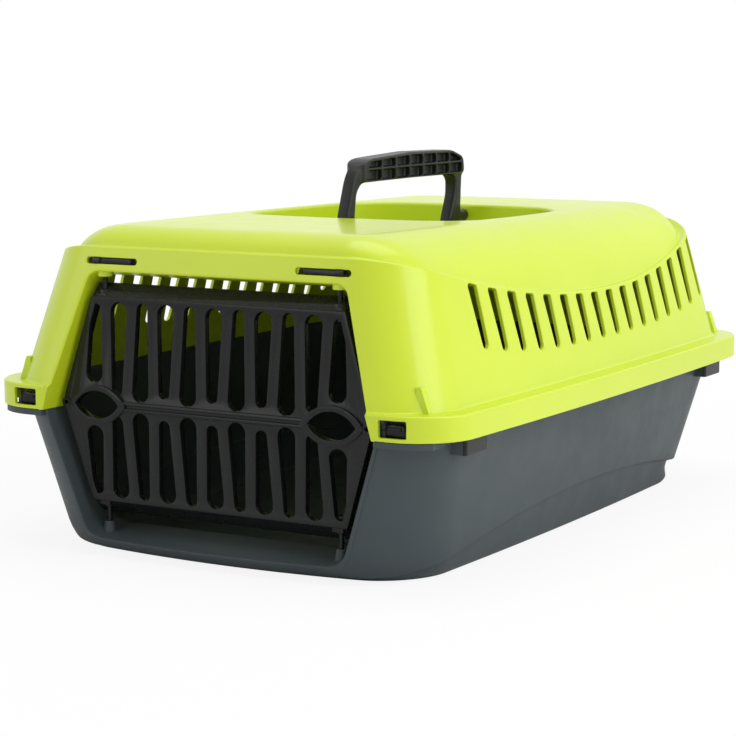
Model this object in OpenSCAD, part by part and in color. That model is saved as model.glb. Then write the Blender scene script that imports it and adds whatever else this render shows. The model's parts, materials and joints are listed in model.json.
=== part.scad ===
// Plastic pet carrier: tub, clip-on top shell, grille door and folding handle.
// The origin is on the ground under the middle of the rim. The door faces -Y and +Z is up.

/* [Shells] */
// Length of the rim from front to back
rim_length = 460; // [430:1:500]
// Width of the rim from side to side
rim_width = 330; // [310:1:360]
// Height of the rim's skirt
rim_height = 15; // [13:0.5:18]
// How far the rim stands out past the walls
rim_overhang = 12; // [11:0.5:15]
// Height of the rim's lower edge above the ground
base_height = 88; // [80:1:110]
// Height of the roof above the rim's lower edge
top_height = 111; // [106:1:130]
// Wall thickness of both shells
wall = 2.5; // [2:0.1:3]
// Radius of the top shell's corners in plan
corner_r = 38; // [36:1:44]
// Radius of the tub's corners in plan
tub_corner_r = 42; // [40:1:48]
// Radius of the rim's corners in plan
rim_corner_r = 34; // [32:1:40]
// How far the long sides bow outwards
side_bow = 4; // [2:0.5:6]
// Gap between parts that move against each other
gap = 0.3; // [0.3:0.05:0.5]

/* [Top shell] */
// Lean of the top shell's sides in degrees
side_lean = 15; // [10:0.5:17]
// Lean of the top shell's front in degrees
front_lean = 11; // [8:0.5:14]
// Lean of the back wall in degrees
rear_lean = 3.5; // [2:0.5:7]
// How far the roof's shoulder reaches in from the side walls
shoulder_w = 35; // [30:1:42]
// Height of the roof's shoulder at the sides
shoulder_h = 36; // [30:1:42]
// How far the shoulder reaches in at the front and back
brow_w = 18; // [14:1:26]
// Height of the shoulder at the front and back
brow_h = 13; // [11.5:0.5:16]
// How far the roof falls towards the back
roof_fall = 4; // [0:0.5:5]
// How far the roof steps in above the ledge
ledge_step = 3.5; // [2.8:0.1:5]
// Depth of the front ledge below the roof
ledge_drop = 12.5; // [12.5:0.5:16]
// How far the ledge dips along the sides
ledge_dip = 35; // [28:1:38]
// Height of the front band between the ledge and the opening
head_band = 14.5; // [14.5:0.5:20]

/* [Side vents] */
// Number of vents on each side
vent_count = 16; // [8:1:16]
// Spacing of the vents
vent_pitch = 22; // [17:0.5:22]
// Distance of the vents' middle behind the middle of the rim
vent_shift = 20; // [14:1:24]
// Width of a vent at its top
vent_top_w = 10.5; // [7:0.5:12]
// Width of a vent at its foot
vent_foot_w = 7; // [5:0.5:9]
// Radius of a vent's upper corners
vent_edge_r = 2; // [1:0.5:3]
// Width of the strip between the vents' tops and the ledge
vent_strip = 2; // [1.5:0.1:4]
// Height of the middle vents' feet above the rim's lower edge
vent_foot_z = 33.5; // [26:0.5:38]
// Height that the vents' feet climb towards both ends
vent_foot_climb = 10; // [0:1:12]

/* [Tub] */
// Distance from the floor's sides to the rim's sides
floor_inset = 34; // [30:0.5:39]
// Distance from the floor's back edge to the back of the rim
heel_inset = 28; // [20:0.5:32]
// How far the tub's front leans back between rim and floor
front_setback = 14.5; // [10:0.5:18]
// How far the tub's front bows forward at the sill
sill_bow = 13; // [6:1:15]
// How far the tub slopes back from the sill to the floor
chin = 14; // [6:1:18]
// Height of the sill under the door opening
sill_height = 12.5; // [11:0.5:18]
// Height of the raised arch along the tub's sides
arch_peak = 28.5; // [22:0.5:36]
// How far the tub steps in below the arch
arch_step = 2.5; // [1.5:0.1:3.5]
// How far the tub steps in below the arch at the back
heel_step = 9; // [5:0.5:11]
// Radius of the floor's lower edge
floor_edge_r = 5; // [4:0.5:8]

/* [Gussets on the rim] */
// Width of a gusset at its foot
gusset_w = 8; // [6:0.5:10]
// Width of a gusset at its top
gusset_tip = 3; // [2:0.5:5]
// Height of a gusset above the rim
gusset_h = 14; // [10:0.5:18]
// Thickness of a gusset
gusset_t = 5; // [4:0.5:7]
// Distance from a gusset to the rim's side
gusset_inset = 22.5; // [20:0.5:25]
// Distance from a gusset to the rim's end
gusset_setback = 15.5; // [14:0.5:18]

/* [Lugs under the rim] */
// Length of a lug
lug_length = 28; // [22:1:34]
// Height of a lug
lug_height = 10.7; // [8:0.1:12]
// Distance from the lugs' middles to the rim's ends
lug_place = 52; // [46:1:60]
// Distance from a lug's face to the rim's side
lug_inset = 11; // [9:0.5:12]
// How far a lug reaches in from the tub's widest wall
lug_root = 12; // [10:0.5:14]

/* [Door opening] */
// Distance from the opening's sides to the rim's sides
opening_inset = 50; // [48:0.5:54]
// How far each side of the opening comes in towards the lip and the sill
opening_taper = 26; // [23:0.5:28]
// Radius of the opening's upper corners
lip_r = 9; // [6:0.5:12]
// Radius of the opening's lower corners
sill_r = 14; // [8:0.5:16]
// Depth of the collar behind the opening
collar_depth = 20; // [19:0.5:24]

/* [Door] */
// Gap between the door and the sides of the opening
door_side_gap = 7; // [6:0.5:11]
// Gap between the door and the lip
door_top_gap = 7.5; // [6.5:0.5:10]
// Gap between the door and the sill
door_foot_gap = 12.5; // [12:0.5:15]
// Gap between the corners of the door and the ends of the opening's sides
door_end_gap = 2; // [1.5:0.1:3]
// Height of the finger holes above the rim's lower edge
door_mid = 4; // [2:0.5:10]
// Thickness of the door's plate
door_t = 4.2; // [3:0.1:5]
// How far the door bows forward at its middle
door_bow = 4.5; // [2:0.5:6]
// Depth and height of the sloping bands at the door's top and foot
door_chamfer = 8; // [6:0.5:9]
// Depth of the door's side flanges
door_flange = 6; // [4:0.5:8]
// Number of slots in each half of the door
slot_count = 11; // [7:2:11]
// Spacing of the door's slots
slot_pitch = 17; // [16:0.2:17]
// Width of a slot at its wide end
slot_wide = 12; // [10:0.1:12.5]
// Width of a slot at its narrow end
slot_narrow = 7.8; // [6:0.1:8.5]
// Length of a finger hole
eye_length = 32; // [28:1:36]
// Height of a finger hole
eye_height = 17; // [14:0.5:18]
// Distance from the opening's sides at the rim to the lines of hinge pins
hinge_inset = 33; // [32:0.5:35]
// Distance of the hinge pins behind the front of the rim
hinge_setback = 23; // [22.5:0.5:24]
// Diameter of a hinge pin
pin_d = 3; // [2.4:0.1:3.6]
// Running clearance between a hinge pin and its knuckle, on the radius
pin_play = 0.06; // [0.03:0.01:0.1]
// Height of a knuckle
knuckle_h = 10; // [8:0.5:12]

/* [Door latches] */
// Length of the slot that a latch slide moves in
latch_slot = 37; // [34:0.5:40]
// Height of that slot
latch_slot_h = 4; // [3:0.1:4.5]
// Length of the latch slide's tongue
latch_tongue = 28.5; // [24:0.5:30]

/* [Handle] */
// Length of the handle
handle_length = 146; // [132:1:150]
// Height of the handle above its pivot
handle_rise = 47; // [44:1:50]
// Width of a leg along the handle
leg_w = 9.5; // [9:0.5:12]
// Thickness of a leg
leg_t = 9; // [8:0.5:11]
// Height of the grip
grip_h = 17; // [15:0.5:19]
// Thickness of the grip
grip_t = 15; // [13:0.5:17]
// Number of pockets along the grip
pocket_count = 7; // [4:1:9]
// Depth of a pocket
pocket_depth = 4; // [2:0.5:5]
// Diameter of a handle pin
handle_pin_d = 6; // [5:0.2:7]
// Depth of the pivot below the roof
pivot_drop = 10; // [10:0.5:12]
// Distance from the handle's ends to the ends of the recess under it
recess_margin = 13; // [10:0.5:17]
// Distance from the recess to the rim's sides
recess_inset = 80; // [78:0.5:90]
// Depth of the recess
recess_depth = 26; // [24:0.5:30]
// Distance of the recess and handle behind the middle
recess_shift = 12; // [0:1:20]

/* [Corner clips] */
// Width of a clip's tongue
clip_w = 12; // [10:0.5:13]
// Distance from the opening's collar to a clip's tongue
clip_land = 4; // [3:0.5:5]
// Width of the window that shows a clip
window_w = 17; // [15:0.5:18]

/* [Hidden] */
$fn = 48;
green = "#bfdc2e";
anthracite = "#3a3d40";
black = "#1c1d1f";

// Heights
z_rim = base_height;
z_flange = z_rim + rim_height - wall;
z_tub = z_flange - gap;
z_roof = z_rim + top_height;
z_ledge = z_roof - ledge_drop;
z_lip = z_ledge - head_band;
z_sill = sill_height;
z_pivot = z_roof - pivot_drop;
z_recess = z_roof - recess_depth;
z_door_mid = z_rim + door_mid;
z_door_top = z_lip - door_top_gap;
z_door_foot = z_sill + door_foot_gap;

// Plan sizes
half_l = rim_length / 2;
half_w = rim_width / 2;
opening_width = rim_width - 2 * opening_inset;
opening_end_width = opening_width - 2 * opening_taper;
door_end_width = opening_end_width - 2 * door_end_gap;
floor_width = rim_width - 2 * floor_inset;
recess_width = rim_width - 2 * recess_inset;
recess_length = handle_length + 2 * recess_margin;
clip_x = opening_width / 2 + wall + clip_land + clip_w / 2;
wall_w = half_w - rim_overhang;
wall_rear = half_l - 9;
skirt_gap = 0.5;
rear_bow = 2;
tub_w = wall_w - wall - gap;
tub_front = -half_l + wall + skirt_gap;
tub_rear = wall_rear - gap;
hinge_x = opening_width / 2 - hinge_inset;
hinge_y = -half_l + hinge_setback;

// Points on an arc
function arc(cx, cy, r, a0, a1, n) =
    [for (i = [0:n]) let (a = a0 + (a1 - a0) * i / n) [cx + r * cos(a), cy + r * sin(a)]];

// Points between two places, without the places themselves
function between(a, b, n) = [for (i = [1:n]) a + (b - a) * i / (n + 1)];

// Moves a point of an outline outwards, most at the middle of each side
function bowed(p, w, y0, y1, front, rear, side) =
    let (across = 1 - pow(p[0] / w, 2), t = (2 * p[1] - y0 - y1) / (y1 - y0),
        along = 1 - min(1, t * t))
    [p[0] + side * along * p[0] / w,
     p[1] - front * across * max(0, -t) + rear * across * max(0, t)];

// A rounded rectangle with bowed sides, whose reach includes the bows
function outline(w, y0, y1, r, front = 0, rear = 0, side = 0) =
    let (x = w - side, f = y0 + front, b = y1 - rear,
        raw = concat(
            arc(x - r, f + r, r, -90, 0, 6), between([x, f + r], [x, b - r], 7),
            arc(x - r, b - r, r, 0, 90, 6), between([x - r, b], [r - x, b], 5),
            arc(r - x, b - r, r, 90, 180, 6), between([-x, b - r], [-x, f + r], 7),
            arc(r - x, f + r, r, 180, 270, 6), between([r - x, f], [x - r, f], 5)))
    [for (p = raw) bowed(p, x, f, b, front, rear, side)];

// A solid through outlines, each at its own height and with its own fall to the back
module loft(rings, heights, falls = []) {
    n = len(rings[0]);
    m = len(rings);
    drop = [for (i = [0:m - 1]) len(falls) > 0 ? falls[i] / rim_length : 0];
    skin = [for (i = [0:m - 1]) for (p = rings[i])
        [p[0], p[1], heights[i] - drop[i] * (p[1] + half_l)]];
    mid = [for (i = [0, m - 1]) let (y = (rings[i][0][1] + rings[i][floor(n / 2)][1]) / 2)
        [0, y, heights[i] - drop[i] * (y + half_l)]];
    sides = [for (i = [0:m - 2]) for (j = [0:n - 1]) let (k = (j + 1) % n, a = i * n, b = a + n)
        each [[a + j, b + j, b + k], [a + j, b + k, a + k]]];
    foot = [for (j = [0:n - 1]) [n * m, j, (j + 1) % n]];
    head = [for (j = [0:n - 1]) let (a = (m - 1) * n) [n * m + 1, a + (j + 1) % n, a + j]];
    polyhedron(points = concat(skin, mid), faces = concat(foot, sides, head), convexity = 6);
}

// Rounds one corner of an outline
function fillet(a, b, c, r, n = 6) =
    let (u = (a - b) / norm(a - b), v = (c - b) / norm(c - b), half = acos(u * v) / 2,
        mid = b + (u + v) / norm(u + v) * r / sin(half),
        p = b + u * r / tan(half), q = b + v * r / tan(half),
        a0 = atan2(p[1] - mid[1], p[0] - mid[0]), a1 = atan2(q[1] - mid[1], q[0] - mid[0]),
        turn = a1 - a0 > 180 ? a1 - a0 - 360 : (a1 - a0 < -180 ? a1 - a0 + 360 : a1 - a0))
    arc(mid[0], mid[1], r, a0, a0 + turn, n);

// Rounds every corner of an outline that has a radius
function rounded(pts, radii) =
    let (n = len(pts))
    [for (i = [0:n - 1]) each radii[i] > 0
        ? fillet(pts[(i + n - 1) % n], pts[i], pts[(i + 1) % n], radii[i]) : [pts[i]]];

// A box with its low corner and its size
module block(low, size) {
    translate(low) cube(size);
}

// A bar along X, Y or Z
module bar_x(x0, x1, y, z, r) {
    translate([x0, y, z]) rotate([0, 90, 0]) cylinder(h = x1 - x0, r = r);
}
module bar_y(x, y0, y1, z, r) {
    translate([x, y0, z]) rotate([-90, 0, 0]) cylinder(h = y1 - y0, r = r);
}
module bar_z(x, y, z0, z1, r) {
    translate([x, y, z0]) cylinder(h = z1 - z0, r = r);
}

// An outline in Y and Z, drawn out along X on both sides of the middle
module along_x(pts, half) {
    translate([-half, 0, 0]) rotate([90, 0, 90]) linear_extrude(height = 2 * half) polygon(pts);
}

// The leaning plane of the opening in the top shell and in the tub
tub_lean = atan((front_setback) / (z_rim - z_sill));
module top_frame() {
    translate([0, -half_l, z_rim]) rotate([90 - front_lean, 0, 0]) children();
}
module tub_frame() {
    translate([0, tub_front, z_rim]) rotate([90 + tub_lean, 0, 0]) children();
}

// The opening's outline above and below the rim, grown by g on every side
top_rise = (z_lip - z_rim) / cos(front_lean);
tub_drop = (z_rim - z_sill) / cos(tub_lean);
function opening_top(g) =
    let (w = opening_width / 2 + g, e = opening_end_width / 2 + g, h = top_rise + g)
    rounded([[-w, -wall], [w, -wall], [e, h], [-e, h]], [0, 0, lip_r + g, lip_r + g]);
function opening_tub(g, above) =
    let (w = opening_width / 2 + g, e = opening_end_width / 2 + g, h = tub_drop + g)
    rounded([[w, 0], [w, above], [-w, above], [-w, 0], [-e, -h], [e, -h]],
        [0, 0, 0, 0, sill_r + g, sill_r + g]);

// The ledge's height along the side, and the vents' feet
ledge_low_y = 0.076 * rim_length;
function ledge_z(y) = let (ahead = y < ledge_low_y,
    span = ahead ? half_l - 20 + ledge_low_y : half_l - 10 - ledge_low_y,
    t = min(1, abs(y - ledge_low_y) / span))
    z_ledge - ledge_dip + ledge_dip * pow(t, ahead ? 2 : 2.1);
function vent_foot(y) = z_rim + vent_foot_z
    + vent_foot_climb * pow(abs(y - vent_shift) / (0.36 * rim_length), 3);

// The region below the ledge line, lowered by drop
module below_ledge(drop) {
    step = rim_length / 24;
    reach = half_l + 20;
    top = [for (i = [0:24]) let (y = -half_l + i * step) [y, ledge_z(y) - drop]];
    along_x(concat([[reach, 0], [-reach, 0], [-reach, ledge_z(-half_l) - drop]], top,
        [[reach, ledge_z(half_l) - drop]]), half_w + 20);
}

// One outline of the top shell at height z, inset by d and at the shoulder by s and f
function top_ring(z, d, s = 0, f = 0, tighten = 0) =
    let (rise = z - z_flange, w = wall_w - tan(side_lean) * rise - d - s,
        y0 = -half_l + tan(front_lean) * (z - z_rim) + d + f,
        y1 = wall_rear - tan(rear_lean) * rise - d - f)
    outline(w, y0, y1, max(8, corner_r - d - (corner_r - 16) * tighten), 0, rear_bow,
        side_bow);

// How far a quarter round of the given reach has come in at height fraction t
function come_in(reach, t) = reach * (1 - sqrt(max(0, 1 - t * t)));

// The roof's solid, inset by d below the ledge step
crown = 0.5;
crown_in = 40;
module roof_solid(d, foot) {
    edge = z_roof - crown - d;
    side_h = shoulder_h - d;
    front_h = brow_h - d;
    steps = [for (a = [12:13:90]) edge - side_h * (1 - sin(a)), edge];
    rings = concat([top_ring(foot, d + ledge_step), top_ring(edge - side_h, d + ledge_step)],
        [for (z = steps) let (t = (z - edge + side_h) / side_h,
            q = max(0, (z - edge + front_h) / front_h))
            top_ring(z, d + ledge_step, come_in(shoulder_w - d, t), come_in(brow_w - d, q),
                pow(t, 4))],
        [top_ring(edge + crown, d + ledge_step, shoulder_w + crown_in,
            brow_w + 1.5 * crown_in, 1)]);
    heights = concat([foot, edge - side_h], steps, [edge + crown]);
    loft(rings, heights, [for (h = heights) roof_fall * max(0, (h - edge + side_h) / side_h)]);
}

// The walls below the ledge, inset by d
module band_solid(d, foot) {
    edge = 2;
    loft([top_ring(foot, d), top_ring(z_ledge - edge, d), top_ring(z_ledge + 1, d, edge, edge)],
        [foot, z_ledge - edge, z_ledge + 1]);
}

module top_outside() {
    roof_solid(0, z_flange);
    intersection() {
        band_solid(0, z_flange);
        below_ledge(0);
    }
}

module top_inside() {
    roof_solid(wall, z_flange - 1);
    intersection() {
        band_solid(wall, z_flange - 1);
        below_ledge(wall);
    }
}

// The rim's outline, inset by d
function rim_outline(d) =
    outline(half_w - d, -half_l + d, half_l - d, rim_corner_r - d, 0, rear_bow,
        side_bow + 1);

module rim() {
    difference() {
        translate([0, 0, z_rim]) linear_extrude(height = rim_height) polygon(rim_outline(0));
        translate([0, 0, z_rim - 1]) linear_extrude(height = rim_height - wall + 1)
            polygon(rim_outline(wall));
        loft([top_ring(z_flange - 2, wall, 0), top_ring(z_flange + wall + 2, wall, 0)],
            [z_flange - 2, z_flange + wall + 2]);
    }
}

// The recess under the handle, grown by g
recess_y0 = recess_shift - recess_length / 2;
recess_y1 = recess_shift + recess_length / 2;
function recess_outline(g) =
    outline(recess_width / 2 + g, recess_y0 - g, recess_y1 + g, 28 + g, 8, 8, 5);

// A vent's outline in Y and Z, with a round foot and a top that follows the ledge
function vent_outline(y) =
    let (a = vent_foot_w / 2, b = vent_top_w / 2, z0 = vent_foot(y),
        p = [y - a, z0], q = [y + a, z0], r = [y + b, ledge_z(y + b) - vent_strip],
        s = [y - b, ledge_z(y - b) - vent_strip])
    concat(fillet(s, p, q, 0.9 * a, 4), fillet(p, q, r, 0.9 * a, 4),
        fillet(q, r, s, vent_edge_r, 3), fillet(r, s, p, vent_edge_r, 3));

vent_y0 = vent_shift - vent_pitch * (vent_count - 1) / 2;

// The latch slot's place on the leaning front band
latch_v = top_rise + 0.44 * head_band;
latch_u = hinge_x - 8.5;
module stadium(length, height) {
    r = height / 2;
    translate([-(length / 2 - r), 0]) circle(r = r);
    translate([length / 2 - r, 0]) circle(r = r);
    square([length - height, height], center = true);
}

// Corner clips stand behind windows in the rim's skirt
clip_tongue_t = 1.8;
function clip_y(e) = half_l - wall - 2 - clip_tongue_t / 2 - (e > 0 ? rear_bow : 0);
function clip_axis_y(e) = clip_y(e) - 1.4;
clip_axis_z = z_rim + 2.8;
clip_barrel_r = 1.7;
clip_pivot_r = 0.9;
clip_top = rim_height - 5.6;
cheek_t = 1.8;
cheek_gap = 0.3;
seat_w = 33;
seat_l = 40;

// Hinge pins and bosses
pin_r = pin_d / 2;
boss_r = pin_r + 3;
lip_boss_h = 3.5;
pin_bite = 7;
knuckle_lift = 4;
lower_boss_top = z_door_foot - 5.5;
lower_knuckle = z_door_foot + knuckle_lift;
knuckle_r = pin_r + 2.1;
knuckle_top = z_door_top - knuckle_lift;
lip_boss_z = z_lip - lip_boss_h;
lip_collar_z = z_lip + 1.5;

// Latch slides
slide_h = 7;
slide_t = 1.6;
rail_t = 1.2;

// Handle pins
hpin_r = handle_pin_d / 2;
handle_y0 = recess_shift + 1.5 - handle_length / 2;
handle_y1 = handle_y0 + handle_length;
handle_flare = 10;
pocket_rim = 2;
wall_boss_l = 7;
hboss_r = hpin_r + 1.6;
pin_seat = 11;

module top_shell() {
    color(green) difference() {
        union() {
            difference() {
                union() {
                    difference() {
                        top_outside();
                        top_inside();
                    }
                    rim();
                    top_collar();
                    recess_bowl();
                    for (s = [-1, 1]) for (e = [-1, 1]) ear_gusset(s, e);
                }
                top_frame() translate([0, 0, -3 * collar_depth])
                    linear_extrude(height = 6 * collar_depth) polygon(opening_top(0));
                for (i = [0:vent_count - 1])
                    along_x(vent_outline(vent_y0 + i * vent_pitch), half_w + 10);
                translate([0, 0, z_recess]) linear_extrude(height = recess_depth + 20)
                    polygon(recess_outline(0));
            }
            for (s = [-1, 1]) {
                bar_z(s * hinge_x, hinge_y, lip_boss_z, lip_collar_z, boss_r);
                latch_rails(s);
            }
        }
        for (s = [-1, 1]) {
            bar_z(s * hinge_x, hinge_y, lip_boss_z - 1, lip_collar_z, pin_r);
            top_frame() translate([s * latch_u, latch_v, -wall - 1.5])
                linear_extrude(height = 12) stadium(latch_slot, latch_slot_h);
            for (e = [-1, 1]) clip_window(s, e);
        }
        bar_y(0, recess_y0 - wall - wall_boss_l + 1, recess_y0 + 12, z_pivot, hpin_r);
        bar_y(0, recess_y1 - 12, recess_y1 + wall + wall_boss_l - 1, z_pivot, hpin_r);
    }
}

// The collar that lines the opening
module top_collar() {
    intersection() {
        top_frame() translate([0, 0, -collar_depth]) linear_extrude(height = collar_depth + 6)
            polygon(opening_top(wall));
        union() {
            top_outside();
            block([-half_w, -half_l, z_rim], [rim_width, 3 * collar_depth, rim_height]);
        }
        block([-half_w, -half_l, z_rim], [rim_width, 4 * collar_depth, top_height]);
    }
}

// The bowl of the recess, and the bosses that hold the handle's pins
module recess_bowl() {
    translate([0, 0, z_recess - wall])
        linear_extrude(height = recess_depth + wall / 2 - 0.53 * roof_fall)
            polygon(recess_outline(wall));
    bar_y(0, recess_y0 - wall - wall_boss_l, recess_y0, z_pivot, hpin_r + 2.5);
    bar_y(0, recess_y1, recess_y1 + wall + wall_boss_l, z_pivot, hpin_r + 2.5);
}

// Hooked rails behind the front band that guide a latch slide
module latch_rails(s) {
    v = slide_h / 2 + gap;
    depth = wall + slide_t + 2 * gap;
    top_frame() translate([s * latch_u - latch_slot / 2 - 2, latch_v, 0]) for (e = [0, 1])
        mirror([0, e, 0]) {
            block([0, v, -depth - 1.2], [latch_slot + 4, rail_t, depth + 0.2]);
            block([0, v - 1.2, -depth - 1.2], [latch_slot + 4, rail_t + 1.2, 1.2]);
        }
}

// The block that stiffens a corner of the rim
module ear_gusset(s, e) {
    x = half_w - gusset_inset;
    y = e * (half_l - gusset_setback - gusset_t / 2);
    mirror([s < 0 ? 1 : 0, 0, 0]) translate([0, y + gusset_t / 2, z_flange + 0.5])
        rotate([90, 0, 0]) linear_extrude(height = gusset_t)
        polygon([[x - gusset_w, 0], [x, 0], [x, wall],
            [x - gusset_w + gusset_tip, gusset_h + wall], [x - gusset_w, gusset_h + wall]]);
}

// The window in the rim's skirt in front of a clip
module clip_window(s, e) {
    translate([s * clip_x, e * half_l, z_rim + rim_height / 2 - 0.3])
        cube([window_w, 16, rim_height - 5], center = true);
}

// One outline of the tub at height z, inset by d, with the heel's and the chin's extra steps
function tub_ring(z, d, heel, f = 0) =
    let (t = min(1, max(0, z / z_rim)), w = floor_width / 2 + (tub_w - floor_width / 2) * t - d,
        y0 = tub_front + front_setback * (1 - t) + d,
        back = half_l - heel_inset,
        y1 = back + (tub_rear - back) * t - d - heel,
        bow = sill_bow * (1 - t))
    outline(w, y0 - bow + f, y1, tub_corner_r + (f > 0 ? -0.2 * f : 9 * (1 - t)) - d, bow,
        rear_bow, side_bow);

// The tub's solid, inset by d, with its floor at the given height
module tub_solid(d, floor_z, heel, top) {
    r = floor_edge_r;
    low = [for (a = [0, 30, 60]) floor_z + r * (1 - cos(a))];
    heights = concat(low, [floor_z + r, z_sill + floor_z, z_rim, top]);
    rings = [for (h = heights) let (k = min(1, (h - floor_z) / r),
        c = max(0, 1 - (h - floor_z) / z_sill))
        tub_ring(h, d + come_in(r, 1 - k), heel, chin * c)];
    loft(rings, heights);
}

// The arch along the tub's sides
function arch_z(y) = arch_peak - (arch_peak - 7) * pow((y - 15) / (half_l - 25), 2);

module above_arch(lift) {
    step = rim_length / 20;
    reach = half_l + 20;
    low = [for (i = [0:20]) let (y = half_l - i * step) [y, max(1, arch_z(y)) + lift]];
    along_x(concat([[-reach, max(1, arch_z(-half_l)) + lift], [-reach, reach], [reach, reach],
        [reach, max(1, arch_z(half_l)) + lift]], low), half_w + 20);
}

module tub_outside() {
    tub_solid(arch_step, 0, heel_step - arch_step, z_tub);
    intersection() {
        tub_solid(0, 0, 0, z_tub);
        above_arch(0);
    }
}

module tub_inside() {
    tub_solid(arch_step + wall, wall, heel_step - arch_step, z_tub + 1);
    intersection() {
        tub_solid(wall, wall, 0, z_tub + 1);
        above_arch(wall);
    }
}

// The tub's own flange inside the rim
module tub_flange() {
    translate([0, 0, z_tub - wall]) linear_extrude(height = wall)
        polygon(rim_outline(wall + skirt_gap));
}

// The collar that lines the lower half of the opening
module tub_collar() {
    intersection() {
        tub_frame() translate([0, 0, -collar_depth]) linear_extrude(height = collar_depth + 20)
                polygon(opening_tub(wall, 1));
        tub_outside();
        block([-half_w, -half_l, 0], [rim_width, 4 * collar_depth, z_rim - gap]);
    }
}

// The plate and cheeks that carry a corner clip
module clip_seat(s, e) {
    cheek_x = clip_w / 2 + cheek_gap;
    y0 = half_l - 23;
    x0 = clip_x - clip_w;
    translate([0, 0, z_rim - gap - 3.5]) linear_extrude(height = 3.5) intersection() {
        polygon(rim_outline(1));
        translate([s > 0 ? x0 : -x0 - seat_w, e > 0 ? y0 : -y0 - seat_l]) square([seat_w, seat_l]);
    }
    mirror([0, e < 0 ? 1 : 0, 0]) for (c = [-cheek_x - cheek_t, cheek_x])
        block([s * clip_x + c, y0 - 2, z_rim - gap - 1],
            [cheek_t, clip_axis_y(e) + clip_pivot_r + 1.2 - y0 + 2, clip_axis_z - z_rim + 4]);
}

// Room behind the skirt for a clip
module clip_room(s, e) {
    mirror([0, e < 0 ? 1 : 0, 0])
        block([s * clip_x - clip_w / 2 - cheek_gap, clip_axis_y(e) - clip_barrel_r - 0.6, z_rim],
            [clip_w + 2 * cheek_gap, 12, rim_height + 5]);
}

// A hollow lug under the rim
lug_z = z_rim - gap - lug_height;
module side_lug(s, e) {
    x = tub_w - lug_root;
    reach = half_w - lug_inset - x;
    y = e * (half_l - lug_place);
    mirror([s < 0 ? 1 : 0, 0, 0]) difference() {
        block([x, y - lug_length / 2, lug_z], [reach, lug_length, lug_height]);
        block([x - 1, y - lug_length / 2 + wall, lug_z - 2],
            [reach + 1 - wall, lug_length - 2 * wall, lug_height + 2 - wall]);
    }
}

module base_shell() {
    color(anthracite) difference() {
        union() {
            difference() {
                union() {
                    tub_outside();
                    tub_flange();
                    for (s = [-1, 1]) for (e = [-1, 1]) side_lug(s, e);
                }
                difference() {
                    tub_inside();
                    tub_collar();
                }
                tub_frame() translate([0, 0, -collar_depth - 1]) linear_extrude(height = 4 * collar_depth)
                    polygon(opening_tub(0, rim_height + 8));
                block([-opening_width / 2 - wall - 0.6, -half_l - 1, z_rim - gap],
                    [opening_width + 2 * wall + 1.2, collar_depth + 14, rim_height + 5]);
                for (s = [-1, 1]) for (e = [-1, 1]) clip_room(s, e);
            }
            for (s = [-1, 1]) {
                translate([s * hinge_x, hinge_y, z_sill - 1])
                    cylinder(h = lower_boss_top - z_sill + 1, r1 = boss_r, r2 = boss_r - 1.4);
                for (e = [-1, 1]) clip_seat(s, e);
            }
        }
        for (s = [-1, 1]) {
            bar_z(s * hinge_x, hinge_y, lower_boss_top - pin_bite, lower_boss_top + 1, pin_r);
            for (e = [-1, 1]) bar_x(s * clip_x - clip_w / 2 - 4, s * clip_x + clip_w / 2 + 4,
                e * clip_axis_y(e), clip_axis_z, clip_pivot_r + 0.05);
        }
    }
}

// The door's two plates lean back from its middle
door_y = hinge_y - 10;
door_lean = atan(door_bow / (z_door_top - z_door_mid));
door_x = opening_width / 2 - door_side_gap;
door_end = door_end_width / 2;
door_up = (z_door_top - door_chamfer - z_door_mid) / cos(door_lean);
door_down = (z_door_mid - z_door_foot - door_chamfer) / cos(door_lean);
eye_x = hinge_x;

module door_upper() {
    translate([0, door_y, z_door_mid]) rotate([90 - door_lean, 0, 0]) children();
}
module door_lower() {
    translate([0, door_y, z_door_mid]) rotate([90 + door_lean, 0, 0]) mirror([0, 1, 0]) children();
}

// One half of the door's plate, reaching up to v
module half_plate(v) {
    e = door_end + (door_x - door_end) * (1 - v / (z_door_top - z_door_mid)) * 0.6;
    difference() {
        polygon([[-door_x, 0], [door_x, 0], [e, v], [-e, v]]);
        for (i = [0:slot_count - 1]) {
            k = i - (slot_count - 1) / 2;
            flip = i % 2 == 0;
            outer = abs(k) > (slot_count - 2) / 2;
            low = outer ? eye_height / 2 + 4.5 : (flip ? 3.2 : 6.4);
            translate([k * slot_pitch, 0])
                tapered(low, v - (outer ? 4 : 2.5), flip ? slot_wide : slot_narrow,
                    flip ? slot_narrow : slot_wide);
        }
    }
}

// A slot with round ends whose lower end is a wide and whose upper end is b wide
module tapered(low, high, a, b) {
    translate([0, low + a / 2]) circle(r = a / 2);
    translate([0, high - b / 2]) circle(r = b / 2);
    polygon([[-a / 2, low + a / 2], [a / 2, low + a / 2], [b / 2, high - b / 2],
        [-b / 2, high - b / 2]]);
}

// A lens with two pointed ends
module lens(length, height) {
    r = (length * length + height * height) / (4 * height);
    intersection() {
        translate([0, height / 2 - r]) circle(r = r, $fn = 120);
        translate([0, r - height / 2]) circle(r = r, $fn = 120);
    }
}

// The sloping band at the door's top, with the same at its foot by mirroring
module door_band(z, flip) {
    y = door_y + door_bow * (1 - door_chamfer / (z_door_top - z_door_mid));
    c = door_chamfer;
    translate([0, 0, z]) mirror([0, 0, flip])
        along_x([[y, -c - 1], [y + c, 0], [y + c + door_t * 1.2, -1], [y + door_t, -c - 1]],
            door_end + 1);
}

module side_rib(v) {
    e = door_end + (door_x - door_end) * (1 - v / (z_door_top - z_door_mid)) * 0.6;
    polygon([[door_x, 0], [e, v], [e - door_t, v], [door_x - door_t, 0]]);
}

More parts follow.
